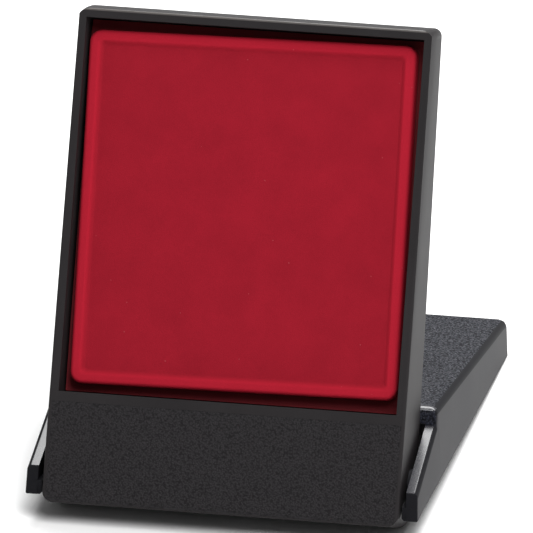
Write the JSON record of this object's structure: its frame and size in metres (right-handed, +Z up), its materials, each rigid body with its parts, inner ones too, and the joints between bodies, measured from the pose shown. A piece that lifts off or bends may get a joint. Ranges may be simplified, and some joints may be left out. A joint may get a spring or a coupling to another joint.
{
  "type": "flip-stand presentation case",
  "caption": "Hinged medal or coin case with a flocked insert in a wedge-shaped tray; the lid turns right round its hinge and becomes the foot that stands the case up.",
  "frame": {"origin": "bottom centre of the bounding box of the case standing open on its lid", "axes": "-Y faces the viewer of the displayed medal, +X is that viewer's right and the hinge runs along it, +Z up"},
  "size_m": [0.0958, 0.1254, 0.1146],
  "materials": {
    "tray_plastic": "black moulded plastic, satin rim and sides, leather-grained chin",
    "cover_plastic": "black moulded plastic, fine matt grain",
    "red_flock": "deep red flock on a thin formed sheet",
    "core_foam": "grey closed-cell foam",
    "pin_steel": "plain steel",
    "lid_plastic": "black moulded plastic, leather-grained top, satin sides",
    "lid_foam": "grey open-cell foam",
    "liner_flock": "black flock on card"
  },
  "bodies": {
    "tray": {"tray_shell": "tray_plastic", "back_cover": "cover_plastic", "flocked_insert": "red_flock", "insert_core": "core_foam", "hinge_pin_left": "pin_steel", "hinge_pin_right": "pin_steel"},
    "lid": {"lid_shell": "lid_plastic", "lid_foam": "lid_foam", "lid_liner": "liner_flock"}
  },
  "joints": [
    {"name": "lid_flip", "type": "hinge", "parent": "tray", "child": "lid", "pos_m": [0, -0.04864, 0.01069], "axis": [-1, 0, 0], "range_deg": [0, 284.9]}
  ]
}
